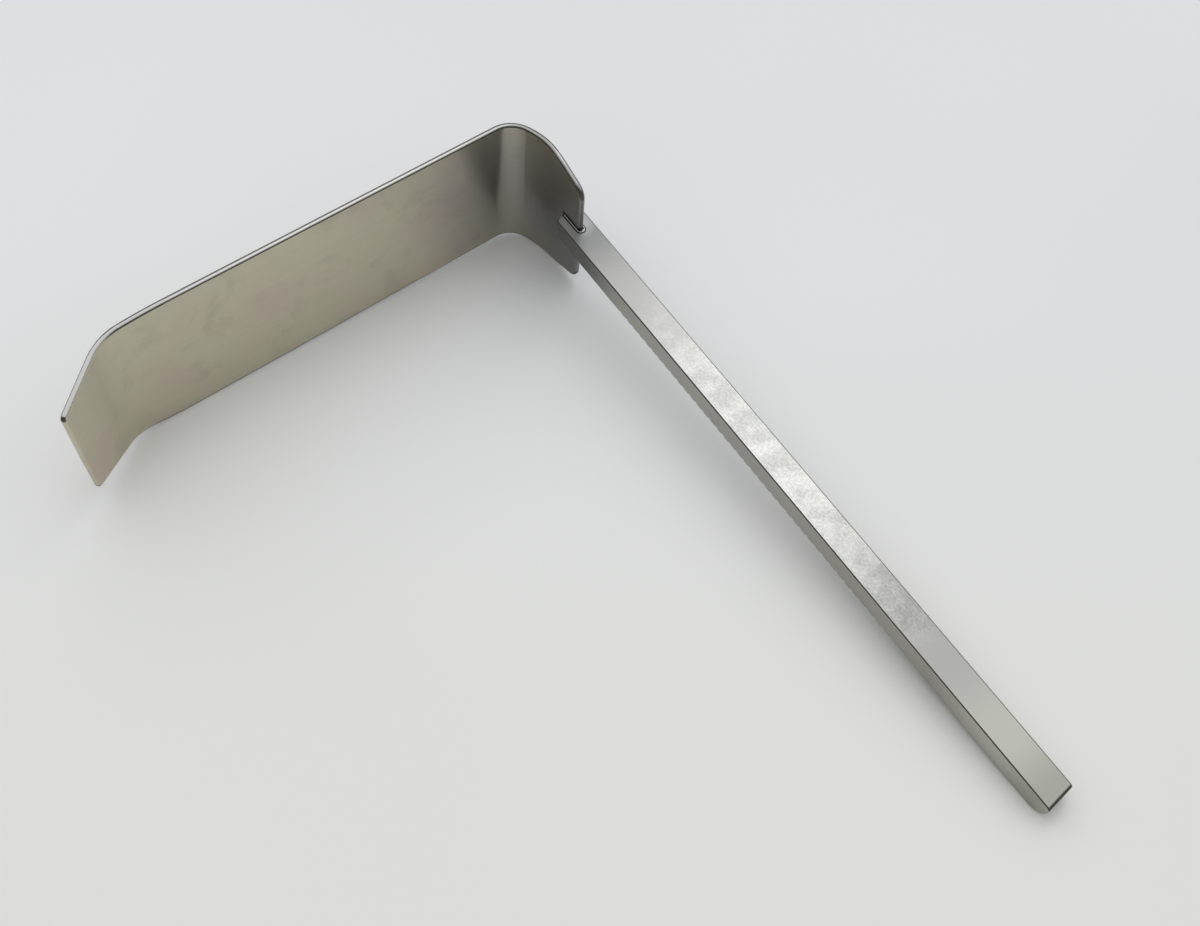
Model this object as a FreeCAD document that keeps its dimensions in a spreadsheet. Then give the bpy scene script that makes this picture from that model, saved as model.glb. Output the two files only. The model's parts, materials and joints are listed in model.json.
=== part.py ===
# Deep pelvic retractor: a broad bent steel blade brazed into the forked end of a flat bar handle.
#
# The pieces are drawn together in one drawing frame and then laid down on the ground as one:
# x runs along the handle, from the tips of its fork at x = 0 to its free end,
# y = 0 is the middle of the blade's sheet where it stands in the fork,
# z = 0 is the middle of the blade's width, and the grip grooves face -z.
import FreeCAD
import Part
import math
import os
import Sketcher
from FreeCAD import Placement, Rotation, Vector

# Lengths are in millimetres and angles in degrees.
SIZES = (
    ("blade_width", 60.0, "width of the blade's sheet between its tapers"),
    ("sheet_thickness", 2.2, "thickness of the blade's sheet"),
    ("shank_length", 18.8, "straight stretch of the blade in line with the handle"),
    ("easing_radius", 33.2, "inside radius of the gentle bend that leads from the shank into the heel"),
    ("easing_angle", 25.4, "turn of that gentle bend"),
    ("heel_radius", 9.6, "inside radius of the tight bend of the heel, up to the reach"),
    ("heel_angle", 69.3, "turn of that tight bend"),
    ("reach_length", 153.1, "straight stretch of the blade across the handle's line"),
    ("toe_radius", 21.1, "inside radius of the bend between reach and lip"),
    ("toe_angle", 36.3, "turn of that bend"),
    ("lip_length", 21.6, "straight stretch of the lip"),
    ("shank_end_width", 48.3, "width of the shank at its end, before its corners are rounded"),
    ("shank_taper_angle", 16.5, "lean of each side of the shank"),
    ("shank_shoulder_radius", 58.0, "radius where the shank's sides meet the full width"),
    ("shank_end_bow", 0.5, "how far the shank's end edge bulges"),
    ("shank_corner_radius", 5.5, "rounding of the shank's corners"),
    ("lip_end_width", 43.8, "width of the lip at its end, before its corners are rounded"),
    ("lip_taper_angle", 12.5, "lean of each side of the lip"),
    ("lip_shoulder_radius", 110.0, "radius where the lip's sides meet the full width"),
    ("lip_end_bow", 0.2, "how far the lip's end edge bulges"),
    ("lip_corner_radius", 2.2, "rounding of the lip's corners"),
    ("edge_rounding", 0.92, "rounding along every edge of the sheet"),
    ("trim_margin", 6.0, "extra sheet on the blank, cut away with the tapers"),
    ("handle_length", 268.8, "length of the handle from its fork tips, along its middle"),
    ("handle_width", 11.5, "width of the bar"),
    ("handle_thickness", 8.5, "thickness of the bar"),
    ("handle_offset", 0.35, "distance from the sheet's middle to the bar's middle"),
    ("slot_depth", 11.1, "depth of the fork's slot"),
    ("side_gap", 0.7, "room for filler metal on each side of the sheet"),
    ("root_gap", 1.3, "room for filler metal at the slot's bottom"),
    ("fork_tip_radius", 2.4, "rounding of the fork's outer corners"),
    ("free_end_slant", 8.0, "turn of the handle's free end away from square"),
    ("lower_end_radius", 6.2, "rounding under the handle's free end"),
    ("upper_end_radius", 1.2, "rounding along the top of the free end"),
    ("arris_radius", 0.45, "rounding of the bar's other edges"),
    ("groove_radius", 1.1, "radius of a grip groove"),
    ("groove_cut", 0.75, "depth of a grip groove"),
    ("groove_pitch", 3.96, "distance from one grip groove to the next"),
    ("groove_count", 41, "number of grip grooves"),
    ("first_groove", 44.7, "place of the first grip groove from the fork tips"),
    ("seam_setback", 0.4, "how far the filler metal ends short of the fork tips"),
    ("seam_crown", 0.3, "how far the filler metal stands above and below the bar"),
    ("seam_rounding", 0.25, "rounding of the filler metal's rims"),
)

# How finely the pieces are sampled for laying them down, and how many tries that may take.
LAYING_TOLERANCE = 0.01
LAYING_TRIES = 30

# Two faces that meet at less than this angle, in degrees, are one smooth face.
SMOOTH_ANGLE = 12.0

# The largest share of the sheet's thickness that the rounding of its edges takes from each side.
ROUNDED_SHARE = 0.43

# Sketcher's numbers for the ends of an edge, its centre, the origin and the x axis.
START, END, CENTRE = 1, 2, 3
X_AXIS = -1
ORIGIN = (-1, 1)

doc = FreeCAD.newDocument("retractor")


def make_sheet():
    """Write every size into the spreadsheet, one row each, with its name as alias."""
    sheet = doc.addObject("Spreadsheet::Sheet", "Sizes")
    for row, (name, value, meaning) in enumerate(SIZES, start=1):
        sheet.set(f"A{row}", name)
        sheet.set(f"B{row}", str(value))
        sheet.set(f"C{row}", meaning)
        sheet.setAlias(f"B{row}", name)
    doc.recompute()
    return sheet


sizes = make_sheet()


def bind(target, field, expression):
    """Bind a field of an object to an expression in which $name is a size of the sheet."""
    target.setExpression(field, expression.replace("$", "Sizes."))


def value_of(expression):
    """Work out an expression in which $name is a size of the sheet."""
    return float(sizes.evalExpression(expression.replace("$", "")))


def add_body(name):
    """Add an empty body whose label is its file's name."""
    body = doc.addObject("PartDesign::Body", name)
    body.Label = name
    return body


def origin_feature(body, role):
    """Return one of the body's own origin planes or axes."""
    return next(feature for feature in body.Origin.OriginFeatures if feature.Role == role)


def add_sketch(body, name, role):
    """Add a sketch on one of the body's own origin planes."""
    sketch = body.newObject("Sketcher::SketchObject", name)
    sketch.AttachmentSupport = [(origin_feature(body, role), "")]
    sketch.MapMode = "FlatFace"
    return sketch


def tie(sketch, *constraint):
    """Add a constraint that holds no size."""
    sketch.addConstraint(Sketcher.Constraint(*constraint))


def drive(sketch, name, expression, *constraint):
    """Add a named constraint whose value follows an expression."""
    index = sketch.addConstraint(Sketcher.Constraint(*constraint))
    sketch.renameConstraint(index, name)
    bind(sketch, f"Constraints.{name}", expression)


def join(sketch, *edges):
    """Join the end of each edge to the start of the next one."""
    for here, after in zip(edges, edges[1:]):
        tie(sketch, "Coincident", here, END, after, START)


def join_smoothly(sketch, *edges):
    """Join each edge to the next one with no corner between them."""
    for here, after in zip(edges, edges[1:]):
        tie(sketch, "Tangent", here, END, after, START)


def segment(start, end):
    """Return a straight sketch edge."""
    return Part.LineSegment(start, end)


def arc(centre, radius, start_angle, end_angle):
    """Return a sketch arc that turns anticlockwise between two angles in degrees."""
    circle = Part.Circle(centre, Vector(0, 0, 1), radius)
    return Part.ArcOfCircle(circle, math.radians(start_angle), math.radians(end_angle))


def outline(sketch, points):
    """Draw straight edges through the points in turn, up to the last one."""
    return sketch.addGeometry([segment(a, b) for a, b in zip(points, points[1:])])


def along(start, heading, length):
    """Return the point at a distance from another one, in a heading in degrees."""
    angle = math.radians(heading)
    return start + Vector(math.cos(angle), math.sin(angle), 0) * length


def finish(body, feature):
    """Make a feature the body's last one and compute it."""
    body.Tip = feature
    doc.recompute()
    return feature


def pad(body, name, sketch, length, both_ways=False):
    """Raise a sketch by a length, to one side or half of it to each side."""
    feature = body.newObject("PartDesign::Pad", name)
    feature.Profile = sketch
    feature.SideType = "Symmetric" if both_ways else "One side"
    bind(feature, "Length", length)
    return finish(body, feature)


def cut(body, name, sketch, length=None):
    """Cut a sketch to both sides, through everything or over a length, and check that it cuts."""
    before = body.Shape.Volume
    feature = body.newObject("PartDesign::Pocket", name)
    feature.Profile = sketch
    feature.SideType = "Symmetric"
    if length is None:
        feature.Type = "ThroughAll"
    else:
        bind(feature, "Length", length)
    finish(body, feature)
    if not body.Shape.Volume < before:
        raise RuntimeError(f"{name} cuts nothing")
    return feature


def round_off(body, name, edges, radius):
    """Round the named edges to a radius, which is an expression."""
    base = body.Tip
    feature = body.newObject("PartDesign::Fillet", name)
    feature.Base = (base, edges)
    bind(feature, "Radius", radius)
    return finish(body, feature)


def edge_at(body, point):
    """Return the name of the edge whose middle lies nearest to a point."""
    edges = body.Shape.Edges
    nearest = min(range(len(edges)), key=lambda index: edges[index].CenterOfMass.distanceToPoint(point))
    return f"Edge{nearest + 1}"


def corner_angle(shape, edge):
    """Return the angle in degrees between the two faces that meet at an edge, at its middle."""
    middle = edge.valueAt((edge.FirstParameter + edge.LastParameter) / 2)
    faces = shape.ancestorsOfType(edge, Part.Face)
    if len(faces) < 2:
        return 0.0
    first, second = (face.normalAt(*face.Surface.parameter(middle)) for face in faces[:2])
    return math.degrees(first.getAngle(second))


def sharp_edges(body):
    """Return the name and the middle of each edge that is a real corner."""
    return [
        (f"Edge{index}", edge.CenterOfMass)
        for index, edge in enumerate(body.Shape.Edges, start=1)
        if corner_angle(body.Shape, edge) > SMOOTH_ANGLE
    ]


# Places that more than one piece or feature needs.
SHANK_END = "$slot_depth - $root_gap"
SLOT_WIDTH = "$sheet_thickness + 2 * $side_gap"
REACH_TURN = "($easing_angle + $heel_angle)"
REACH_HEADING = f"{REACH_TURN} - 180"
LIP_HEADING = f"{REACH_TURN} + $toe_angle - 180"
EASING_DROP = "$easing_radius * (1 - cos($easing_angle * 1 deg))"

# How far the trim of each end may reach along the sheet: the shank's has to end before the tight bend.
TRIM_ROOM = {
    "shank": "$shank_length + $easing_radius * sin($easing_angle * 1 deg)",
    "lip": "$lip_length + $reach_length",
}

shank_end = Vector(sizes.slot_depth - sizes.root_gap, 0, 0)
slot_width = sizes.sheet_thickness + 2 * sizes.side_gap
reach_heading = sizes.easing_angle + sizes.heel_angle - 180
lip_heading = reach_heading + sizes.toe_angle


def strip_side(inset):
    """Return the edges of one side of the bent strip, and its two ends.

    The inset is the side's distance from the sheet's middle, towards the inside of the bends.
    """
    easing_radius = sizes.easing_radius + sizes.sheet_thickness / 2 - inset
    heel_radius = sizes.heel_radius + sizes.sheet_thickness / 2 - inset
    toe_radius = sizes.toe_radius + sizes.sheet_thickness / 2 - inset
    start = shank_end + Vector(sizes.trim_margin, -inset, 0)
    easing_start = along(start, 180, sizes.trim_margin + sizes.shank_length)
    easing_centre = along(easing_start, -90, easing_radius)
    heel_start = along(easing_centre, 90 + sizes.easing_angle, easing_radius)
    heel_centre = along(heel_start, sizes.easing_angle - 90, heel_radius)
    reach_start = along(heel_centre, reach_heading - 90, heel_radius)
    reach_end = along(reach_start, reach_heading, sizes.reach_length)
    toe_centre = along(reach_end, reach_heading + 90, toe_radius)
    lip_start = along(toe_centre, lip_heading - 90, toe_radius)
    end = along(lip_start, lip_heading, sizes.lip_length + sizes.trim_margin)
    edges = [
        segment(start, easing_start),
        arc(easing_centre, easing_radius, 90, 90 + sizes.easing_angle),
        arc(heel_centre, heel_radius, 90 + sizes.easing_angle, 270 + reach_heading),
        segment(reach_start, reach_end),
        arc(toe_centre, toe_radius, reach_heading - 90, lip_heading - 90),
        segment(lip_start, end),
    ]
    return edges, start, end


def draw_strip(body):
    """Draw the blade's bent strip as seen along its width."""
    sketch = add_sketch(body, "strip_section", "XY_Plane")
    half = sizes.sheet_thickness / 2
    inner_edges, inner_start, inner_end = strip_side(half)
    outer_edges, outer_start, outer_end = strip_side(-half)
    front = sketch.addGeometry(inner_edges)
    back = sketch.addGeometry(outer_edges)
    shank, easing, heel, reach, toe, lip = front
    back_shank, back_easing, back_heel, back_reach, back_toe, back_lip = back
    shank_cap = sketch.addGeometry(segment(outer_start, inner_start))
    lip_cap = sketch.addGeometry(segment(inner_end, outer_end))
    join_smoothly(sketch, *front)
    join_smoothly(sketch, *back)
    join(sketch, shank_cap, shank)
    join(sketch, lip, lip_cap)
    tie(sketch, "Coincident", shank_cap, START, back_shank, START)
    tie(sketch, "Coincident", lip_cap, END, back_lip, END)
    for bend, back_bend in ((easing, back_easing), (heel, back_heel), (toe, back_toe)):
        tie(sketch, "Coincident", bend, CENTRE, back_bend, CENTRE)
    tie(sketch, "Symmetric", shank_cap, START, shank_cap, END, X_AXIS)
    tie(sketch, "Horizontal", shank)
    tie(sketch, "Horizontal", back_shank)
    tie(sketch, "Parallel", reach, back_reach)
    tie(sketch, "Parallel", lip, back_lip)
    tie(sketch, "Perpendicular", lip, lip_cap)
    drive(sketch, "thickness", "$sheet_thickness", "Distance", shank_cap, 2 * half)
    drive(sketch, "blank_start", f"{SHANK_END} + $trim_margin", "DistanceX", *ORIGIN, shank, START,
          inner_start.x)
    drive(sketch, "shank_run", "$shank_length + $trim_margin", "Distance", shank,
          sizes.shank_length + sizes.trim_margin)
    drive(sketch, "easing_inside", "$easing_radius", "Radius", easing, sizes.easing_radius)
    drive(sketch, "easing_turn", "$easing_angle", "Angle", easing, math.radians(sizes.easing_angle))
    drive(sketch, "heel_inside", "$heel_radius", "Radius", heel, sizes.heel_radius)
    drive(sketch, "reach_heading", REACH_HEADING, "Angle", reach, math.radians(reach_heading))
    drive(sketch, "reach_run", "$reach_length", "Distance", reach, sizes.reach_length)
    drive(sketch, "toe_inside", "$toe_radius", "Radius", toe, sizes.toe_radius)
    drive(sketch, "lip_heading", LIP_HEADING, "Angle", lip, math.radians(lip_heading))
    drive(sketch, "lip_run", "$lip_length + $trim_margin", "Distance", lip,
          sizes.lip_length + sizes.trim_margin)
    return sketch


def draw_trim(body, stretch):
    """Draw what is cut away round one end of the strip, for the shank or the lip.

    The sketch's own origin is the middle of the finished end, with its x axis pointing off the sheet.
    The outline is a C: the bowed end, the leaning sides and the shoulders, and a box round them.
    A shoulder is only as large as the room beside the taper allows.
    """
    angle = f"${stretch}_taper_angle * 1 deg"
    taper = f"${stretch}_end_bow + ($blade_width - ${stretch}_end_width) / (2 * tan({angle}))"
    largest = f"({TRIM_ROOM[stretch]} - ({taper})) / tan({angle} / 2)"
    shoulder_size = f"min(${stretch}_shoulder_radius; {largest})"
    width = sizes.get(f"{stretch}_end_width")
    lean = sizes.get(f"{stretch}_taper_angle")
    shoulder = value_of(shoulder_size)
    bow = sizes.get(f"{stretch}_end_bow")
    margin = sizes.trim_margin
    half_end = width / 2
    half_full = sizes.blade_width / 2
    bow_radius = (half_end**2 + bow**2) / (2 * bow)
    bow_angle = math.degrees(math.asin(half_end / bow_radius))
    shoulder_run = shoulder * math.tan(math.radians(lean / 2))
    crossing = Vector(-bow - (half_full - half_end) / math.tan(math.radians(lean)), half_full, 0)
    shoulder_end = crossing - Vector(shoulder_run, 0, 0)
    shoulder_start = along(crossing, -lean, shoulder_run)
    corner = Vector(-bow, half_end, 0)
    far_side = Vector(margin, half_full + margin, 0)

    def below(point):
        return Vector(point.x, -point.y, 0)

    sketch = add_sketch(body, f"{stretch}_trim", "XZ_Plane")
    end_edge = sketch.addGeometry(arc(Vector(-bow_radius, 0, 0), bow_radius, -bow_angle, bow_angle))
    top_side = sketch.addGeometry(segment(corner, shoulder_start))
    top_shoulder = sketch.addGeometry(arc(shoulder_end - Vector(0, shoulder, 0), shoulder, 90 - lean, 90))
    box = outline(sketch, [
        shoulder_end,
        Vector(shoulder_end.x, far_side.y, 0),
        far_side,
        below(far_side),
        Vector(shoulder_end.x, -far_side.y, 0),
        below(shoulder_end),
    ])
    low_centre = below(shoulder_end) + Vector(0, shoulder, 0)
    low_shoulder = sketch.addGeometry(arc(low_centre, shoulder, 270, 270 + lean))
    low_side = sketch.addGeometry(segment(below(shoulder_start), below(corner)))
    join(sketch, end_edge, top_side)
    join_smoothly(sketch, top_side, top_shoulder)
    join(sketch, top_shoulder, *box, low_shoulder)
    join_smoothly(sketch, low_shoulder, low_side)
    join(sketch, low_side, end_edge)
    up, top, far, bottom, down = box
    for edge in (up, down):
        tie(sketch, "Vertical", edge)
    for edge in (top, bottom):
        tie(sketch, "Horizontal", edge)
    tie(sketch, "Symmetric", end_edge, START, end_edge, END, X_AXIS)
    tie(sketch, "Symmetric", top_shoulder, END, low_shoulder, START, X_AXIS)
    tie(sketch, "Symmetric", far, START, far, END, X_AXIS)
    tie(sketch, "Equal", top_shoulder, low_shoulder)
    tie(sketch, "Vertical", top_shoulder, CENTRE, top_shoulder, END)
    tie(sketch, "Vertical", low_shoulder, CENTRE, low_shoulder, START)
    drive(sketch, "end_width", f"${stretch}_end_width", "DistanceY", end_edge, START, end_edge, END, width)
    drive(sketch, "bow", f"${stretch}_end_bow", "DistanceX", end_edge, END, *ORIGIN, bow)
    drive(sketch, "bow_radius",
          f"(${stretch}_end_width ^ 2 / 4 + ${stretch}_end_bow ^ 2) / (2 * ${stretch}_end_bow)",
          "Radius", end_edge, bow_radius)
    drive(sketch, "lean", f"180 - ${stretch}_taper_angle", "Angle", top_side, math.radians(180 - lean))
    drive(sketch, "shoulder", shoulder_size, "Radius", top_shoulder, shoulder)
    drive(sketch, "full_width", "$blade_width", "DistanceY", down, END, up, START, sizes.blade_width)
    drive(sketch, "beyond", "$trim_margin", "DistanceX", *ORIGIN, far, START, margin)
    drive(sketch, "beside", "$trim_margin", "DistanceY", up, margin)
    return sketch


def lip_end_point():
    """Return the middle of the lip's finished end, on the sheet's middle."""
    _, _, blank_end = strip_side(0)
    return along(blank_end, lip_heading, -sizes.trim_margin)


def place_lip_trim(sketch):
    """Set the lip's trim square to the lip, with its origin at the lip's end."""
    easing = "($easing_radius + $sheet_thickness / 2)"
    heel = "($heel_radius + $sheet_thickness / 2)"
    toe = "($toe_radius + $sheet_thickness / 2)"
    first = "$easing_angle * 1 deg"
    second = f"{REACH_TURN} * 1 deg"
    third = f"({REACH_TURN} + $toe_angle) * 1 deg"
    bind(sketch, "AttachmentOffset.Base.x",
         f"{SHANK_END} - $shank_length - {easing} * sin({first}) - {heel} * (sin({second}) - sin({first}))"
         f" - $reach_length * cos({second}) + {toe} * (sin({second}) - sin({third}))"
         f" - $lip_length * cos({third})")
    bind(sketch, "AttachmentOffset.Base.z",
         f"{easing} * (1 - cos({first})) + {heel} * (cos({first}) - cos({second}))"
         f" + $reach_length * sin({second}) + {toe} * (cos({second}) - cos({third}))"
         f" + $lip_length * sin({third})")
    sketch.AttachmentOffset = Placement(Vector(), Rotation(Vector(0, 1, 0), lip_heading))
    bind(sketch, "AttachmentOffset.Rotation.Angle", LIP_HEADING)


def trim_corners(end, heading, stretch):
    """Return the two corners that the trim leaves at one end of the blade."""
    corner = along(end, heading, -sizes.get(f"{stretch}_end_bow"))
    half = Vector(0, 0, sizes.get(f"{stretch}_end_width") / 2)
    return corner + half, corner - half


def make_blade():
    """Bend the blade's strip, trim both ends, then round its corners and edges."""
    body = add_body("blade")
    pad(body, "strip", draw_strip(body), "$blade_width", both_ways=True)

    shank_trim = draw_trim(body, "shank")
    bind(shank_trim, "AttachmentOffset.Base.x", SHANK_END)
    cut(body, "shank_cut", shank_trim, f"2 * ({EASING_DROP} + $heel_radius + $sheet_thickness)")

    lip_trim = draw_trim(body, "lip")
    place_lip_trim(lip_trim)
    cut(body, "lip_cut", lip_trim)

    for stretch, end, heading in (("shank", shank_end, 0), ("lip", lip_end_point(), lip_heading)):
        edges = [edge_at(body, corner) for corner in trim_corners(end, heading, stretch)]
        round_off(body, f"{stretch}_corners", edges, f"${stretch}_corner_radius")

    edge_radius = f"min($edge_rounding; {ROUNDED_SHARE} * $sheet_thickness)"
    round_off(body, "sheet_edges", [name for name, _ in sharp_edges(body)], edge_radius)
    return body


def draw_bar_section(body):
    """Draw the bar's section across its length."""
    sketch = add_sketch(body, "bar_section", "YZ_Plane")
    low = Vector(sizes.handle_offset - sizes.handle_width / 2, -sizes.handle_thickness / 2, 0)
    high = Vector(low.x + sizes.handle_width, -low.y, 0)
    corners = [low, Vector(high.x, low.y, 0), high, Vector(low.x, high.y, 0)]
    bottom, right, top, left = outline(sketch, corners + [low])
    join(sketch, bottom, right, top, left, bottom)
    tie(sketch, "Horizontal", bottom)
    tie(sketch, "Horizontal", top)
    tie(sketch, "Vertical", left)
    tie(sketch, "Symmetric", right, START, right, END, X_AXIS)
    drive(sketch, "width", "$handle_width", "Distance", bottom, sizes.handle_width)
    drive(sketch, "thickness", "$handle_thickness", "Distance", right, sizes.handle_thickness)
    drive(sketch, "right_side", "$handle_offset + $handle_width / 2", "DistanceX", *ORIGIN, right, START,
          high.x)
    return sketch


def draw_free_end(body):
    """Draw what is cut off the bar's blank beyond its slanted free end."""
    sketch = add_sketch(body, "free_end_outline", "XY_Plane")
    width = sizes.handle_width
    lean = width * math.tan(math.radians(sizes.free_end_slant))
    low = Vector(sizes.handle_length + lean, sizes.handle_offset - width, 0)
    high = Vector(sizes.handle_length - lean, sizes.handle_offset + width, 0)
    beyond = sizes.handle_length + 2 * width
    far_corners = [Vector(beyond, high.y, 0), Vector(beyond, low.y, 0)]
    end, top, far, bottom = outline(sketch, [low, high, *far_corners, low])
    join(sketch, end, top, far, bottom, end)
    tie(sketch, "Horizontal", top)
    tie(sketch, "Horizontal", bottom)
    tie(sketch, "Vertical", far)
    drive(sketch, "slant", "90 + $free_end_slant", "Angle", end, math.radians(90 + sizes.free_end_slant))
    drive(sketch, "low_corner", "$handle_length + $handle_width * tan($free_end_slant * 1 deg)",
          "DistanceX", *ORIGIN, end, START, low.x)
    drive(sketch, "below", "$handle_width - $handle_offset", "DistanceY", end, START, *ORIGIN, -low.y)
    drive(sketch, "height", "2 * $handle_width", "DistanceY", end, START, end, END, 2 * width)
    drive(sketch, "beyond", "$handle_length + 2 * $handle_width", "DistanceX", *ORIGIN, far, START, beyond)
    return sketch


def draw_slot(body):
    """Draw the fork's slot, open at the tips and round at its bottom."""
    sketch = add_sketch(body, "slot_outline", "XY_Plane")
    half = slot_width / 2
    centre = Vector(sizes.slot_depth - half, 0, 0)
    mouth = -sizes.trim_margin
    low = sketch.addGeometry(segment(Vector(mouth, -half, 0), Vector(centre.x, -half, 0)))
    root = sketch.addGeometry(arc(centre, half, -90, 90))
    high = sketch.addGeometry(segment(Vector(centre.x, half, 0), Vector(mouth, half, 0)))
    mouth_edge = sketch.addGeometry(segment(Vector(mouth, half, 0), Vector(mouth, -half, 0)))
    join_smoothly(sketch, low, root, high)
    join(sketch, high, mouth_edge, low)
    tie(sketch, "Horizontal", low)
    tie(sketch, "Symmetric", mouth_edge, START, mouth_edge, END, X_AXIS)
    tie(sketch, "Horizontal", high)
    drive(sketch, "slot_width", SLOT_WIDTH, "Distance", mouth_edge, slot_width)
    drive(sketch, "root_centre", f"$slot_depth - ({SLOT_WIDTH}) / 2", "DistanceX", *ORIGIN, root, CENTRE,
          centre.x)
    drive(sketch, "mouth", "$trim_margin", "DistanceX", mouth_edge, START, *ORIGIN, -mouth)
    return sketch


def draw_groove(body):
    """Draw the first grip groove's circle, sunk into the bar's underside."""
    sketch = add_sketch(body, "groove_circle", "XZ_Plane")
    below = sizes.handle_thickness / 2 + sizes.groove_radius - sizes.groove_cut
    circle = Part.Circle(Vector(sizes.first_groove, -below, 0), Vector(0, 0, 1), sizes.groove_radius)
    groove = sketch.addGeometry(circle)
    drive(sketch, "radius", "$groove_radius", "Radius", groove, sizes.groove_radius)
    drive(sketch, "place", "$first_groove", "DistanceX", *ORIGIN, groove, CENTRE, sizes.first_groove)
    drive(sketch, "below", "$handle_thickness / 2 + $groove_radius - $groove_cut", "DistanceY",
          groove, CENTRE, *ORIGIN, below)
    return sketch


def repeat_grooves(body, groove):
    """Repeat the grip groove along the bar."""
    pattern = body.newObject("PartDesign::LinearPattern", "grip_grooves")
    pattern.Originals = [groove]
    pattern.Direction = (origin_feature(body, "X_Axis"), [""])
    pattern.Mode = "Spacing"
    bind(pattern, "Offset", "$groove_pitch")
    bind(pattern, "Occurrences", "$groove_count")
    before = body.Shape.Volume
    finish(body, pattern)
    if sizes.groove_count > 1 and not body.Shape.Volume < before:
        raise RuntimeError("the grip grooves aren't repeated")


def make_handle():
    """Cut the bar to length, cut its fork, round its ends and edges, and cut the grip grooves."""
    body = add_body("handle")
    pad(body, "bar", draw_bar_section(body), "$handle_length + $handle_width")
    cut(body, "free_end", draw_free_end(body))
    cut(body, "slot", draw_slot(body))

    half_width = sizes.handle_width / 2
    half_height = sizes.handle_thickness / 2
    tips = [edge_at(body, Vector(0, sizes.handle_offset + side * half_width, 0)) for side in (-1, 1)]
    round_off(body, "fork_tips", tips, "$fork_tip_radius")
    for name, height in (("lower_end", -half_height), ("upper_end", half_height)):
        free_edge = edge_at(body, Vector(sizes.handle_length, sizes.handle_offset, height))
        round_off(body, name, [free_edge], f"${name}_radius")

    def at_mouth(point):
        beside = abs(point.y) < slot_width / 2 + sizes.side_gap / 2
        return beside and abs(point.z) < half_height / 2

    arrises = [name for name, middle in sharp_edges(body) if not at_mouth(middle)]
    round_off(body, "arrises", arrises, "$arris_radius")
    repeat_grooves(body, cut(body, "groove", draw_groove(body)))
    return body


def draw_seam(body):
    """Draw the filler metal as seen from above: the slot's outline less the sheet in it."""
    sketch = add_sketch(body, "seam_outline", "XY_Plane")
    half_slot = slot_width / 2
    half_sheet = sizes.sheet_thickness / 2
    start = sizes.seam_setback
    root_centre = Vector(sizes.slot_depth - half_slot, 0, 0)
    low = sketch.addGeometry(segment(Vector(start, -half_slot, 0), Vector(root_centre.x, -half_slot, 0)))
    root = sketch.addGeometry(arc(root_centre, half_slot, -90, 90))
    high = sketch.addGeometry(segment(Vector(root_centre.x, half_slot, 0), Vector(start, half_slot, 0)))
    high_tip, high_inner, sheet_end, low_inner, low_tip = outline(sketch, [
        Vector(start, half_slot, 0),
        Vector(start, half_sheet, 0),
        Vector(shank_end.x, half_sheet, 0),
        Vector(shank_end.x, -half_sheet, 0),
        Vector(start, -half_sheet, 0),
        Vector(start, -half_slot, 0),
    ])
    join_smoothly(sketch, low, root, high)
    join(sketch, high, high_tip, high_inner, sheet_end, low_inner, low_tip, low)
    for edge in (low, high, high_inner, low_inner):
        tie(sketch, "Horizontal", edge)
    for edge in (high_tip, low_tip):
        tie(sketch, "Vertical", edge)
    tie(sketch, "Symmetric", low, START, high, END, X_AXIS)
    tie(sketch, "Symmetric", sheet_end, START, sheet_end, END, X_AXIS)
    drive(sketch, "slot_radius", f"({SLOT_WIDTH}) / 2", "Radius", root, half_slot)
    drive(sketch, "root_centre", f"$slot_depth - ({SLOT_WIDTH}) / 2", "DistanceX", *ORIGIN, root, CENTRE,
          root_centre.x)
    drive(sketch, "sheet", "$sheet_thickness", "Distance", sheet_end, sizes.sheet_thickness)
    drive(sketch, "sheet_reach", SHANK_END, "DistanceX", *ORIGIN, sheet_end, START, shank_end.x)
    drive(sketch, "setback", "$seam_setback", "DistanceX", *ORIGIN, low, START, start)
    return sketch


def make_seam():
    """Fill the slot round the sheet with filler metal, a little proud of the bar and round at its rims."""
    body = add_body("brazed_seam")
    pad(body, "filler", draw_seam(body), "$handle_thickness + 2 * $seam_crown", both_ways=True)
    rim_height = sizes.handle_thickness / 2 + sizes.seam_crown / 2
    rims = [name for name, middle in sharp_edges(body) if abs(middle.z) > rim_height]
    round_off(body, "rims", rims, "$seam_rounding")
    return body


def surface_points(shape):
    """Return points spread over a shape."""
    points, _ = shape.tessellate(LAYING_TOLERANCE)
    return points


def ground_normal(blade, handle):
    """Return the upward normal of the ground under three feet: the shank, the lip and the handle.

    Each foot is the point of its stretch that lies lowest along the normal. The normal and the feet
    are worked out in turn until neither changes.
    """
    middle = lip_end_point().y / 2
    blade_points = surface_points(blade)
    stretches = [
        [point for point in blade_points if point.y > middle],
        [point for point in blade_points if point.y <= middle],
        surface_points(handle),
    ]
    normal = Vector(0, 0, 1)
    feet = []
    for _ in range(LAYING_TRIES):
        lowest = [min(points, key=normal.dot) for points in stretches]
        if lowest == feet:
            break
        feet = lowest
        shank_foot, lip_foot, handle_foot = feet
        normal = (lip_foot - shank_foot).cross(handle_foot - shank_foot).normalize()
    return normal


def lay_down(bodies):
    """Turn the bodies so that they rest on the ground, with the origin below the middle of them all."""
    blade, handle, _ = bodies
    turn = Rotation(ground_normal(blade.Shape, handle.Shape), Vector(0, 0, 1))
    together = Part.makeCompound([body.Shape for body in bodies])
    together.Placement = Placement(Vector(), turn)
    box = together.optimalBoundingBox(False, False)
    origin = Vector(box.Center.x, box.Center.y, box.ZMin)
    for body in bodies:
        body.Placement = Placement(origin * -1, turn)
    doc.recompute()


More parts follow.
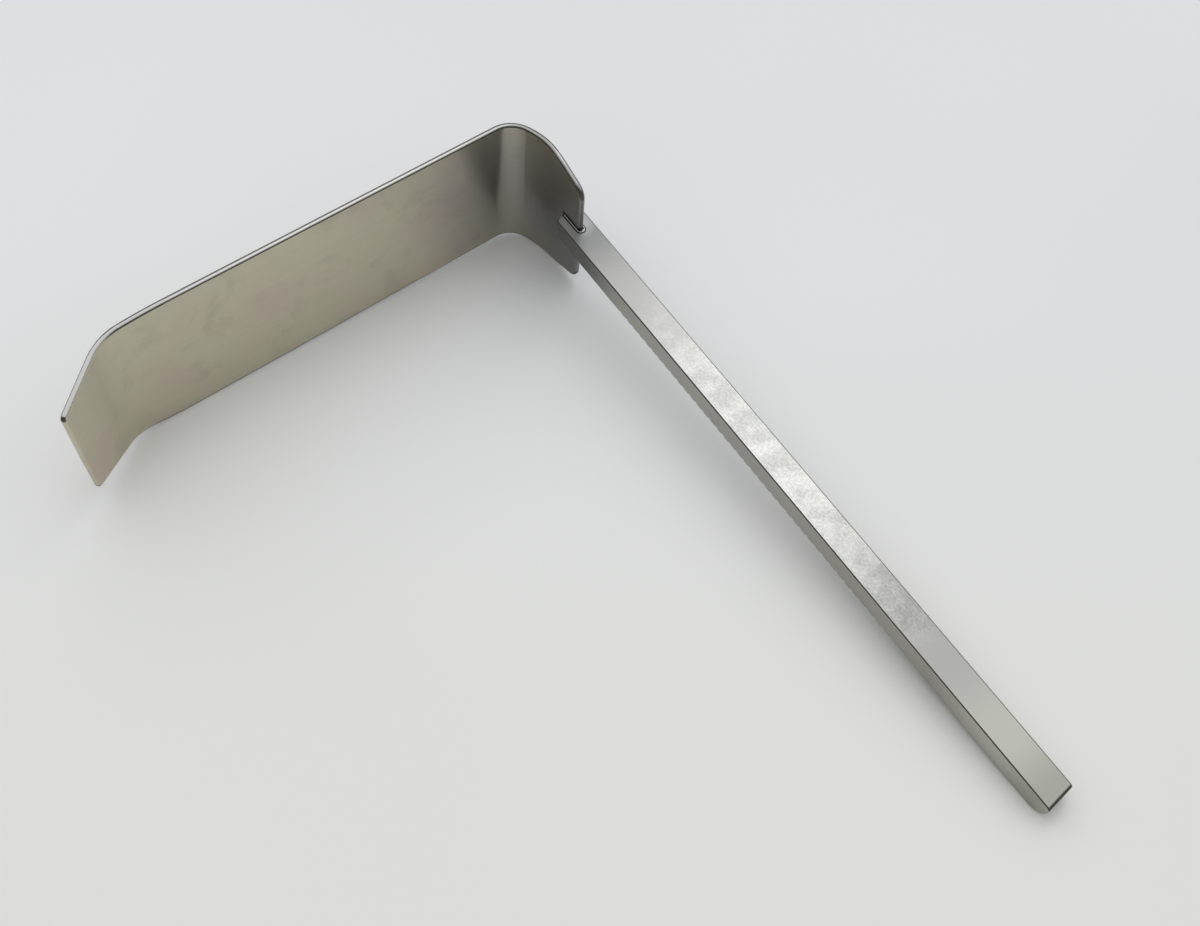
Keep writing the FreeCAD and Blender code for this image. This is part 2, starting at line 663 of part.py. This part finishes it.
def check_document():
    """Stop if any object of the document has failed."""
    for thing in doc.Objects:
        if "Invalid" in thing.State or "Error" in thing.State:
            raise RuntimeError(f"{thing.Label} is {thing.State}")


def export(bodies):
    """Check each piece's solid and write it to its own file."""
    os.makedirs("parts", exist_ok=True)
    for body in bodies:
        shape = body.Shape
        if shape.isNull() or not shape.isValid() or len(shape.Solids) != 1:
            raise RuntimeError(f"{body.Label} isn't one valid solid")
        shape.exportStep(f"parts/{body.Label}.step")
        box = shape.optimalBoundingBox(False, False)
        print(f"{body.Label}: {shape.Volume:.1f} cubic mm, z from {box.ZMin:.3f} to {box.ZMax:.3f}")


pieces = [make_blade(), make_handle(), make_seam()]
lay_down(pieces)
check_document()
export(pieces)
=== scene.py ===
"""Dresses the deep retractor in its finishes, with painted shade, painted reflections, a painted
highlight and a painted shadow in their colours, and lays it on a pale table under soft light.

The three pieces of the frame keep their shapes: the bent sheet, the forked bar and the filler metal
between them. Every length is in metres, in the frame's own axes.
"""

import json
import logging
import math
from dataclasses import dataclass, field
from enum import Enum
from typing import Any

import bpy
from mathutils import Matrix, Vector


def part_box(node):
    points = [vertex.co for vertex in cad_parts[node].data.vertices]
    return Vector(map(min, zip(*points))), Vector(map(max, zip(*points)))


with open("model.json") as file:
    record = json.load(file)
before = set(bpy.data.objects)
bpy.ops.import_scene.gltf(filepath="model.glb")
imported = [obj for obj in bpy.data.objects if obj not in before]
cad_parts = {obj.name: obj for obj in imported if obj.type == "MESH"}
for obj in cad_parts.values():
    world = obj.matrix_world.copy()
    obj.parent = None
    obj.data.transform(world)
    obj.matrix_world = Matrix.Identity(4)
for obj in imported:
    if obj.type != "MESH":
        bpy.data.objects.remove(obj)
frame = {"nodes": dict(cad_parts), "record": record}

log = logging.getLogger("retractor")

MM = 0.001

# How far the directions of the grain lean, so that there is one on every face.
LEAN = 0.06

# How squarely a face looks up or down where it starts to count as level, and where it fully does.
LEVEL = (0.5, 0.8)

# The stretch of each noise that becomes the least and the most of what it drives.
SMEARS = (0.4, 0.68)
SMUDGES = (0.52, 0.68)
GRAIN = (0.3, 0.7)
PATCHES = (0.35, 0.65)


class Side(Enum):
    """The directions in which a face of the part can look, in the bar's own axes."""

    ALONG = Vector((1, 0, 0))
    ACROSS = Vector((0, 1, 0))
    UP = Vector((0, 0, 1))


class GrainRun(Enum):
    """Which way the brushing runs: round the bends of the sheet, or straight along the bar."""

    SHEET = "sheet"
    BAR = "bar"


class Faces(Enum):
    """Which faces the painted shading round the joint covers: all of them, those that look up or
    down, or the sides.
    """

    ALL = "all"
    LEVEL = "level"
    SIDES = "sides"


@dataclass(frozen=True)
class Lay:
    """How the part lies, and the places from which its finishes are measured.

    The bar slopes down to its free end, so its axes are turned about Y.
    """

    up: Vector
    joint: Vector
    fork_tip: Vector
    bar_top: Vector

    @classmethod
    def of_frame(cls) -> "Lay":
        """Read the lay from the mount on the bar's top face and from the pieces' boxes.

        Returns:
            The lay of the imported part.
        """
        top = next(mount for mount in frame["record"]["mounts"] if mount["name"] == "grip_top")
        seam_low, seam_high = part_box("brazed_seam")
        bar_low, bar_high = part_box("handle")
        fork_tip = Vector((bar_low[0], (bar_low[1] + bar_high[1]) / 2, bar_high[2]))
        joint = (Vector(seam_low) + Vector(seam_high)) / 2
        return cls(Vector(top["axis"]).normalized(), joint, fork_tip, Vector(top["pos_m"]))

    @property
    def slope(self) -> float:
        """Angle by which the part is turned about Y, in radians."""
        return math.atan2(self.up.x, self.up.z)

    def run(self, graph: "Graph") -> bpy.types.NodeSocket:
        """Measure along the bar from the fork's tips.

        Args:
            graph: The material's nodes.

        Returns:
            How far the surface lies from the tips, in metres.
        """
        along = self.direction(Side.ALONG)
        here = graph.add("TexCoord").outputs["Object"]
        return graph.math("SUBTRACT", graph.along(here, along), self.fork_tip.dot(along))

    def direction(self, side: Side) -> Vector:
        """Turn one of the bar's own directions into the frame.

        Args:
            side: The direction in the bar's own axes.

        Returns:
            The same direction in the frame's axes.
        """
        return Matrix.Rotation(self.slope, 3, "Y") @ side.value


class Graph:
    """A material's nodes, added and linked in one line each."""

    def __init__(self, tree: bpy.types.NodeTree, output: str) -> None:
        """Empty a tree and give it its output.

        Args:
            tree: The node tree to build in.
            output: The type of the output node.
        """
        self.tree = tree
        self.tree.nodes.clear()
        self.output = self.tree.nodes.new(output)

    @classmethod
    def of_material(cls, material: bpy.types.Material) -> "Graph":
        """Start a material's nodes."""
        material.use_nodes = True
        return cls(material.node_tree, "ShaderNodeOutputMaterial")

    @classmethod
    def of_world(cls, world: bpy.types.World) -> "Graph":
        """Start a world's nodes."""
        world.use_nodes = True
        return cls(world.node_tree, "ShaderNodeOutputWorld")

    def add(self, kind: str, inputs: dict[str | int, Any] | None = None,
            **settings: Any) -> bpy.types.Node:
        """Add a node and set or link its inputs.

        Args:
            kind: The node's type, without the leading "ShaderNode".
            inputs: A value or another node's output socket for each input.
            **settings: The node's own settings.

        Returns:
            The new node.
        """
        node = self.tree.nodes.new(f"ShaderNode{kind}")
        for key, value in settings.items():
            setattr(node, key, value)
        for key, value in (inputs or {}).items():
            if isinstance(value, bpy.types.NodeSocket):
                self.tree.links.new(value, node.inputs[key])
            else:
                node.inputs[key].default_value = value
        return node

    def coordinates(self, slope: float) -> bpy.types.NodeSocket:
        """Return the place on the piece in the bar's own axes.

        Args:
            slope: The turn of the part about Y, in radians.

        Returns:
            A vector socket, in metres.
        """
        place = self.add("TexCoord").outputs["Object"]
        return self.add("Mapping", {"Vector": place, "Rotation": (0, -slope, 0)}).outputs["Vector"]

    def noise(self, place: bpy.types.NodeSocket, scale: tuple[float, float, float],
              detail: float = 2.0, roughness: float = 0.5,
              distortion: float = 0.0) -> bpy.types.NodeSocket:
        """Return noise of a given fineness along each axis.

        Args:
            place: The coordinates that it is read at.
            scale: How many features there are to the metre along X, Y and Z.
            detail: How many finer layers are added.
            roughness: How strong the finer layers are.
            distortion: How far the pattern is stirred.

        Returns:
            A value socket around 0.5.
        """
        stretched = self.add("Mapping", {"Vector": place, "Scale": scale}).outputs["Vector"]
        node = self.add("TexNoise", {
            "Vector": stretched,
            "Scale": 1.0,
            "Detail": detail,
            "Roughness": roughness,
            "Distortion": distortion,
        })
        return node.outputs["Fac"]

    def between(self, value: bpy.types.NodeSocket, low: float, high: float, start: float = 0.0,
                end: float = 1.0) -> bpy.types.NodeSocket:
        """Stretch a value smoothly from one range to another.

        Args:
            value: The value to stretch.
            low: What becomes the start.
            high: What becomes the end.
            start: The result at and below low.
            end: The result at and above high.

        Returns:
            The stretched value.
        """
        limits = {"From Min": low, "From Max": high, "To Min": start, "To Max": end}
        node = self.add("MapRange", {"Value": value, **limits}, interpolation_type="SMOOTHSTEP")
        return node.outputs["Result"]

    def math(self, operation: str, first: Any, second: Any = 0.0) -> bpy.types.NodeSocket:
        """Return the result of a sum on two values or sockets."""
        return self.add("Math", {0: first, 1: second}, operation=operation).outputs["Value"]

    def blend(self, share: bpy.types.NodeSocket, first: Any, second: Any) -> bpy.types.NodeSocket:
        """Return a colour between two colours or sockets, by a share."""
        node = self.add("MixRGB", {"Fac": share, "Color1": first, "Color2": second})
        return node.outputs["Color"]

    def scaled(self, colour: bpy.types.NodeSocket,
               factor: bpy.types.NodeSocket) -> bpy.types.NodeSocket:
        """Return a colour made darker or lighter by a factor."""
        node = self.add("VectorMath", {0: colour, "Scale": factor}, operation="SCALE")
        return node.outputs["Vector"]

    def along(self, vector: bpy.types.NodeSocket, direction: Vector) -> bpy.types.NodeSocket:
        """Return how far a vector goes in a direction."""
        dot = self.add("VectorMath", {0: vector, 1: tuple(direction)}, operation="DOT_PRODUCT")
        return dot.outputs["Value"]

    def distance(self, place: Vector) -> bpy.types.NodeSocket:
        """Return how far the surface is from a place in the frame."""
        away = {0: self.add("TexCoord").outputs["Object"], 1: tuple(place)}
        return self.add("VectorMath", away, operation="DISTANCE").outputs["Value"]

    def uprightness(self, up: Vector) -> bpy.types.NodeSocket:
        """Return how squarely the surface faces up or down, from 0 to 1.

        Args:
            up: The direction that counts as up, in the frame's axes.

        Returns:
            The cosine, without its sign.
        """
        return self.math("ABSOLUTE", self.along(self.add("TexCoord").outputs["Normal"], up))

    def finish(self, shader: bpy.types.Node) -> None:
        """Link the node that gives the surface to the output."""
        self.tree.links.new(shader.outputs[0], self.output.inputs["Surface"])


@dataclass(frozen=True)
class PaintedJointShading:
    """Painted shading round the brazed joint: the steel's colour is turned towards a given grey by
    distance from the joint, darker for painted shade and painted dark reflections, and its
    roughness is raised by roughened.

    full and end are the distances from the joint up to which the painted colour is full and at
    which it ends.
    """

    full: float
    end: float
    colour: tuple[float, float, float]
    roughened: float = 0.0
    faces: Faces = Faces.ALL

    def share(self, graph: Graph, lay: Lay, rim: bpy.types.NodeSocket) -> bpy.types.NodeSocket:
        """Return how strong the painted shading is at each place.

        Args:
            graph: The material's nodes.
            lay: How the part lies.
            rim: How far the surface counts as looking up or down.

        Returns:
            The share, from 0 to 1.
        """
        share = graph.between(graph.distance(lay.joint), self.full, self.end, 1.0, 0.0)
        if self.faces is Faces.LEVEL:
            return graph.math("MULTIPLY", share, rim)
        if self.faces is Faces.SIDES:
            return graph.math("MULTIPLY", share, graph.math("SUBTRACT", 1.0, rim))
        return share


@dataclass(frozen=True)
class PaintedForkShadow:
    """Painted shadow on the sheet, in the corner above the fork.

    They fade out between the two heights over the bar's top, between the two depths under it,
    between before_tips and the fork's tips, and between the two distances from the joint.
    """

    heights: tuple[float, float] = (0.57 * MM, 1.9 * MM)
    depths: tuple[float, float] = (2.0 * MM, 4.0 * MM)
    before_tips: float = 1.2 * MM
    distances: tuple[float, float] = (14.4 * MM, 16.0 * MM)
    colour: tuple[float, float, float] = (0.035, 0.035, 0.035)

    def over(self, graph: Graph, lay: Lay, steel: bpy.types.NodeSocket) -> bpy.types.NodeSocket:
        """Return the colour of the steel with the painted shadow over it.

        Args:
            graph: The material's nodes.
            lay: How the part lies.
            steel: The colour of the steel.

        Returns:
            The colour with the remains over it.
        """
        here = graph.add("TexCoord").outputs["Object"]
        height = graph.math("SUBTRACT", graph.along(here, lay.up), lay.bar_top.dot(lay.up))
        above = graph.between(height, *self.heights, 1.0, 0.0)
        below = graph.between(height, -self.depths[1], -self.depths[0])
        beside = graph.between(lay.run(graph), -self.before_tips, 0.0)
        near = graph.between(graph.distance(lay.joint), *self.distances, 1.0, 0.0)
        corner = graph.math("MULTIPLY", above, below)
        share = graph.math("MULTIPLY", corner, graph.math("MULTIPLY", beside, near))
        return graph.blend(share, steel, (*self.colour, 1.0))


@dataclass(frozen=True)
class PaintedHighlight:
    """A painted highlight along the top of the bar, between two distances from the fork's tips,
    broken by dull patches and speckles.
    """

    start: float = 38 * MM
    end: float = 214 * MM
    fade_in: float = 56 * MM
    fade_out: float = 16 * MM
    patches: tuple[float, float, float] = (125.0, 105.0, 105.0)
    speckles: float = 1100.0
    gain: float = 0.17
    patch_depth: float = 0.22
    speckle_depth: float = 0.18
    level: tuple[float, float] = (0.9, 0.99)
    dull: tuple[float, float] = (0.38, 0.62)
    dotted: tuple[float, float] = (0.36, 0.66)

    def brightness(self, graph: Graph, lay: Lay,
                   place: bpy.types.NodeSocket) -> bpy.types.NodeSocket:
        """Return how bright the painted highlight makes the steel at each place.

        Args:
            graph: The material's nodes.
            lay: How the part lies.
            place: The place in the bar's own axes.

        Returns:
            A factor of 1 on plain steel, more along the painted highlight and less in its dull
            patches.
        """
        run = lay.run(graph)
        begun = graph.between(run, self.start, self.start + self.fade_in)
        ended = graph.between(run, self.end - self.fade_out, self.end, 1.0, 0.0)
        top = graph.between(graph.uprightness(lay.up), *self.level)
        zone = graph.math("MULTIPLY", graph.math("MULTIPLY", begun, ended), top)
        patches = graph.noise(place, self.patches, detail=4.0, roughness=0.6, distortion=0.1)
        speckles = graph.noise(place, (self.speckles,) * 3, detail=2.0)
        dull = graph.between(patches, *self.dull, self.patch_depth, 0.0)
        dotted = graph.between(speckles, *self.dotted, self.speckle_depth, 0.0)
        change = graph.math("SUBTRACT", self.gain, graph.math("ADD", dull, dotted))
        return graph.math("ADD", 1.0, graph.math("MULTIPLY", zone, change))


@dataclass(frozen=True)
class EndTones:
    """The free end of the bar: paler and warmer from start, and darker again over its last stretch.
    """

    start: float = 216 * MM
    full: float = 244 * MM
    darkened: float = 248 * MM
    end: float = 266 * MM
    colour: tuple[float, float, float] = (0.53, 0.53, 0.475)
    darkened_colour: tuple[float, float, float] = (0.41, 0.412, 0.37)

    def over(self, graph: Graph, lay: Lay, steel: bpy.types.NodeSocket) -> bpy.types.NodeSocket:
        """Return the colour of the steel with these tones over it.

        Args:
            graph: The material's nodes.
            lay: How the part lies.
            steel: The colour of the steel.

        Returns:
            The colour with the wear over it.
        """
        run = lay.run(graph)
        lightened = graph.blend(graph.between(run, self.start, self.full), steel, (*self.colour, 1.0))
        darkened = graph.between(run, self.darkened, self.end)
        return graph.blend(darkened, lightened, (*self.darkened_colour, 1.0))


@dataclass(frozen=True)
class PaintedEdgeLines:
    """Painted dark reflections and painted shade along the rounded edges.

    A rounding starts to be dark and is fully dark at the two sines of how far it has turned away
    from up: far is for the sides that look towards a direction, near for those that look away from
    it. A start below 0 brings the line over the flat rim too. The line fades out where the rounding
    runs into the side, between the two sines of how far it has turned away from the side.
    """

    towards: Vector
    far: tuple[float, float]
    near: tuple[float, float]
    side: tuple[float, float] = (0.04, 0.15)
    colour: tuple[float, float, float] = (0.11, 0.105, 0.095)

    def over(self, graph: Graph, lay: Lay, steel: bpy.types.NodeSocket) -> bpy.types.NodeSocket:
        """Return the colour of the steel with the lines over it.

        Args:
            graph: The material's nodes.
            lay: How the part lies.
            steel: The colour of the steel.

        Returns:
            The colour with the lines over it.
        """
        normal = graph.add("TexCoord").outputs["Normal"]
        lean = graph.along(normal, self.towards.normalized())
        far = graph.between(lean, *self.far)
        near = graph.between(graph.math("MULTIPLY", lean, -1.0), *self.near)
        rounded = graph.between(graph.uprightness(lay.up), *self.side)
        share = graph.math("MULTIPLY", graph.math("MAXIMUM", far, near), rounded)
        return graph.blend(share, steel, (*self.colour, 1.0))


@dataclass(frozen=True)
class SatinSteel:
    """Stainless steel brushed to a satin, with polished rims and painted dark reflections and
    painted shade along its edges.

    Faint smears, and darker smudges where smudge_depth is above 0, lie over the brushing. Painted
    shading round the joint, a painted highlight and a painted shadow lie over them where given.
    """

    name: str
    colour: tuple[float, float, float]
    smeared_colour: tuple[float, float, float]
    roughness: float
    rim_colour: tuple[float, float, float]
    rim_roughness: float
    grain: tuple[float, float, float]
    joint_shading: tuple[PaintedJointShading, ...]
    edges: PaintedEdgeLines
    grain_run: GrainRun = GrainRun.SHEET
    anisotropy: float = 0.5
    smear_scale: float = 22.0
    streak_depth: float = 0.05
    grain_strength: float = 0.02
    grain_height: float = 0.05 * MM
    roughness_swing: float = 0.02
    smear_roughness: float = 0.03
    smudge_scale: float = 48.0
    smudge_depth: float = 0.0
    painted_highlight: PaintedHighlight | None = None
    end_tones: EndTones | None = None
    fork_shadow: PaintedForkShadow | None = None

    def highlight_axis(self, graph: Graph, lay: Lay) -> bpy.types.NodeSocket:
        """Return the direction in which the grain draws out a highlight, which is across the grain.

        Both directions lean a little, so that there is a direction on every face.

        Args:
            graph: The material's nodes.
            lay: How the part lies.

        Returns:
            A vector socket.
        """
        up, along = lay.direction(Side.UP), lay.direction(Side.ALONG)
        if self.grain_run is GrainRun.SHEET:
            axis = up + LEAN * along
            node = graph.add("CombineXYZ", {"X": axis.x, "Y": axis.y, "Z": axis.z})
            return node.outputs["Vector"]
        grain = along + LEAN * (up + lay.direction(Side.ACROSS))
        normal = graph.add("TexCoord").outputs["Normal"]
        node = graph.add("VectorMath", {0: normal, 1: tuple(grain)}, operation="CROSS_PRODUCT")
        return node.outputs["Vector"]

    def build(self, lay: Lay) -> bpy.types.Material:
        """Make the material.

        Args:
            lay: How the part lies.

        Returns:
            The finished material.
        """
        material = bpy.data.materials.new(self.name)
        graph = Graph.of_material(material)
        place = graph.coordinates(lay.slope)
        smear_scale = (self.smear_scale,) * 3
        smears = graph.noise(place, smear_scale, detail=4.0, roughness=0.55, distortion=0.6)
        smear_share = graph.between(smears, *SMEARS)
        grain = graph.noise(place, self.grain, detail=3.0, roughness=0.6)
        rim = graph.between(graph.uprightness(lay.up), *LEVEL)

        steel = graph.blend(smear_share, (*self.colour, 1.0), (*self.smeared_colour, 1.0))
        streaks = graph.between(grain, *GRAIN, 1.0, 1.0 - self.streak_depth)
        brushed = graph.scaled(steel, streaks)
        if self.smudge_depth:
            smudge_scale = (self.smudge_scale,) * 3
            smudges = graph.noise(place, smudge_scale, detail=6.0, roughness=0.6, distortion=0.8)
            smudged = graph.between(smudges, *SMUDGES, 1.0, 1.0 - self.smudge_depth)
            brushed = graph.scaled(brushed, smudged)
        colour = graph.blend(rim, brushed, (*self.rim_colour, 1.0))
        smoothest = self.roughness - self.roughness_swing
        roughest = self.roughness + self.roughness_swing
        satin = graph.between(grain, *GRAIN, smoothest, roughest)
        rougher = graph.math("MULTIPLY", smear_share, self.smear_roughness)
        smeared = graph.math("ADD", satin, rougher)
        roughness = graph.add("Mix", {0: rim, 2: smeared, 3: self.rim_roughness}).outputs[0]
        if self.end_tones:
            colour = self.end_tones.over(graph, lay, colour)
        # Painted shade and painted dark reflections round the joint.
        for shading in self.joint_shading:
            share = shading.share(graph, lay, rim)
            colour = graph.blend(share, colour, (*shading.colour, 1.0))
            roughness = graph.math("ADD", roughness, graph.math("MULTIPLY", share, shading.roughened))
        # Painted highlight along the bar's top.
        if self.painted_highlight:
            colour = graph.scaled(colour, self.painted_highlight.brightness(graph, lay, place))
        # Painted shadow in the corner above the fork.
        if self.fork_shadow:
            colour = self.fork_shadow.over(graph, lay, colour)
        # Painted dark reflections and painted shade along the rounded edges.
        colour = self.edges.over(graph, lay, colour)
        relief = {"Height": grain, "Strength": self.grain_strength, "Distance": self.grain_height}
        bump = graph.add("Bump", relief)
        shader = graph.add("BsdfPrincipled", {
            "Base Color": colour,
            "Metallic": 1.0,
            "Roughness": roughness,
            "Anisotropic": self.anisotropy,
            "Tangent": self.highlight_axis(graph, lay),
            "Normal": bump.outputs["Normal"],
        })
        graph.finish(shader)
        return material


@dataclass(frozen=True)
class TableTop:
    """Matt pale laminate with painted light on it: a little cooler at the back, warmer at the front
    and lighter at the left.

    The changes run between fade_start and fade_end, measured forwards and leftwards from the part.
    """

    name: str = "pale_table"
    back_colour: tuple[float, float, float] = (0.945, 0.957, 0.972)
    front_colour: tuple[float, float, float] = (0.955, 0.95, 0.9)
    forwards: Vector = field(default_factory=lambda: Vector((0.83, -0.56, 0.0)))
    leftwards: Vector = field(default_factory=lambda: Vector((-0.56, -0.83, 0.0)))
    fade_start: float = -0.25
    fade_end: float = 0.25
    right_dimming: float = 0.96
    patch_scale: float = 2.5
    patch_depth: float = 0.02
    roughness: float = 0.65

    def build(self) -> bpy.types.Material:
        """Make the material.

        Returns:
            The finished material.
        """
        material = bpy.data.materials.new(self.name)
        graph = Graph.of_material(material)
        place = graph.add("TexCoord").outputs["Object"]
        # Painted light: the tint from back to front and the lightness from right to left.
        fade = (self.fade_start, self.fade_end)
        share = graph.between(graph.along(place, self.forwards), *fade)
        plain = graph.blend(share, (*self.back_colour, 1.0), (*self.front_colour, 1.0))
        patches = graph.noise(place, (self.patch_scale,) * 3, detail=2.0)
        mottling = graph.between(patches, *PATCHES, 1.0, 1.0 - self.patch_depth)
        left = graph.along(place, self.leftwards)
        lightness = graph.between(left, *fade, self.right_dimming, 1.0)
        colour = graph.scaled(graph.scaled(plain, mottling), lightness)
        finish = {"Base Color": colour, "Roughness": self.roughness}
        graph.finish(graph.add("BsdfPrincipled", finish))
        return material


@dataclass
class Retractor:
    """The part itself: three pieces of the frame, each with its finish."""

    lay: Lay
    blade_finish: SatinSteel = SatinSteel(
        name="satin_sheet",
        colour=(0.625, 0.59, 0.46),
        smeared_colour=(0.62, 0.55, 0.455),
        roughness=0.31,
        rim_colour=(0.62, 0.615, 0.60),
        rim_roughness=0.2,
        grain=(16.0, 16.0, 1300.0),
        # Painted shade and painted dark reflections over the heel and shank, round the joint.
        joint_shading=(PaintedJointShading(full=14 * MM, end=66 * MM, colour=(0.262, 0.264, 0.264)),),
        edges=PaintedEdgeLines(towards=Vector((-0.8, 0.6, 0.0)), far=(-0.15, 0.0), near=(0.5, 0.72)),
        anisotropy=0.85,
        streak_depth=0.03,
        smudge_depth=0.10,
        # Painted shadow where the fork meets the sheet.
        fork_shadow=PaintedForkShadow(),
    )
    bar_finish: SatinSteel = SatinSteel(
        name="satin_bar",
        colour=(0.43, 0.42, 0.385),
        smeared_colour=(0.40, 0.385, 0.35),
        roughness=0.24,
        rim_colour=(0.44, 0.44, 0.425),
        rim_roughness=0.22,
        grain=(14.0, 1500.0, 1500.0),
        joint_shading=(
            # Painted dark reflection on the top near the fork.
            PaintedJointShading(9 * MM, 36 * MM, (0.31, 0.312, 0.31), roughened=0.2, faces=Faces.LEVEL),
            # Lighter again on the tops next to the joint.
            PaintedJointShading(5 * MM, 10 * MM, (0.46, 0.465, 0.465), faces=Faces.LEVEL),
            # Painted shade and painted dark reflection on the sides near the fork.
            PaintedJointShading(12 * MM, 42 * MM, (0.15, 0.15, 0.148), faces=Faces.SIDES),
        ),
        edges=PaintedEdgeLines(towards=Vector((0.0, 1.0, 0.0)), far=(0.0, 0.05), near=(0.1, 0.3)),
        grain_run=GrainRun.BAR,
        # Painted highlight along the top.
        painted_highlight=PaintedHighlight(),
        end_tones=EndTones(),
    )
    filler_finish: SatinSteel = SatinSteel(
        name="polished_filler",
        colour=(0.46, 0.455, 0.44),
        smeared_colour=(0.40, 0.395, 0.38),
        roughness=0.24,
        rim_colour=(0.46, 0.455, 0.44),
        rim_roughness=0.24,
        grain=(300.0, 300.0, 300.0),
        joint_shading=(),
        edges=PaintedEdgeLines(towards=Vector((0.0, 1.0, 0.0)), far=(0.5, 0.8), near=(0.5, 0.8)),
        anisotropy=0.0,
    )

    def dress(self) -> None:
        """Give each node of the frame its finish."""
        finishes = {
            "blade": self.blade_finish,
            "handle": self.bar_finish,
            "brazed_seam": self.filler_finish,
        }
        for name, finish in finishes.items():
            node = frame["nodes"][name]
            node.material_slots[0].material = finish.build(self.lay)
            log.info("%s: %d faces, dressed as %s", name, len(node.data.polygons), finish.name)


@dataclass
class Studio:
    """The table, the ceiling panel, the room and the camera."""

    table_size: float = 14.0
    camera_place: Vector = field(default_factory=lambda: Vector((187.82, -104.92, 382.84)) * MM)
    camera_aim: Vector = field(default_factory=lambda: Vector((-32.84, 52.9, 0.0)) * MM)
    camera_roll: float = 1.48
    camera_lens: float = 39.123
    panel_side: Vector = field(default_factory=lambda: Vector((-0.23, 0.44, 0.86)))
    panel_distance: float = 1.6
    panel_size: tuple[float, float] = (0.44, 1.3)
    panel_watts: float = 1.85
    room_colour: tuple[float, float, float] = (0.985, 0.995, 1.0)
    bright_side: Vector = field(default_factory=lambda: Vector((-0.35, 0.45, 0.82)))
    wall: tuple[float, float] = (0.05, 0.6)
    wall_light: float = 0.12
    turn: tuple[float, float] = (-0.6, 1.0)
    dim_side_light: float = 0.3
    bright_side_light: float = 0.95

    def table(self) -> None:
        """Lay the table under the part."""
        bpy.ops.mesh.primitive_plane_add(size=self.table_size, location=(0, 0, 0))
        plane = bpy.context.object
        plane.name = "table"
        plane.data.materials.append(TableTop().build())
        log.info("table: %.1f m across", self.table_size)

    def panel(self) -> None:
        """Hang the soft rectangular ceiling panel so that it faces the part."""
        light = bpy.data.lights.new("ceiling_panel", "AREA")
        light.shape = "RECTANGLE"
        light.size, light.size_y = self.panel_size
        light.energy = self.panel_watts
        panel = bpy.data.objects.new("ceiling_panel", light)
        bpy.context.scene.collection.objects.link(panel)
        panel.location = self.panel_side.normalized() * self.panel_distance
        panel.rotation_euler = (-panel.location).to_track_quat("-Z", "Y").to_euler()

    def world(self) -> None:
        """Surround the part with a room that is bright high up behind it and dim at eye level."""
        world = bpy.data.worlds.new("soft_room")
        bpy.context.scene.world = world
        graph = Graph.of_world(world)
        direction = graph.add("TexCoord").outputs["Generated"]
        height = graph.add("SeparateXYZ", {"Vector": direction}).outputs["Z"]
        side = graph.along(direction, self.bright_side.normalized())
        wall = graph.between(height, *self.wall, self.wall_light, 1.0)
        turned = graph.between(side, *self.turn, self.dim_side_light, self.bright_side_light)
        strength = graph.math("MULTIPLY", wall, turned)
        light = {"Color": (*self.room_colour, 1.0), "Strength": strength}
        graph.finish(graph.add("Background", light))

    def camera(self) -> None:
        """Set the camera where the photograph was taken from."""
        data = bpy.data.cameras.new("camera")
        data.lens = self.camera_lens
        data.clip_start = 0.01
        camera = bpy.data.objects.new("camera", data)
        bpy.context.scene.collection.objects.link(camera)
        look = (self.camera_aim - self.camera_place).to_track_quat("-Z", "Y").to_matrix()
        turn = look @ Matrix.Rotation(math.radians(self.camera_roll), 3, "Z")
        camera.matrix_world = Matrix.Translation(self.camera_place) @ turn.to_4x4()
        bpy.context.scene.camera = camera

    def set_up(self) -> None:
        """Set up everything round the part."""
        self.table()
        self.panel()
        self.world()
        self.camera()
        bpy.context.scene.view_settings.view_transform = "Standard"


def main() -> None:
    """Dress the part and set up the studio."""
    logging.basicConfig(level=logging.INFO, format="%(message)s")
    bpy.ops.object.select_all(action="DESELECT")
    bpy.context.view_layer.update()
    Retractor(Lay.of_frame()).dress()
    Studio().set_up()


if __name__ == "__main__":
    main()
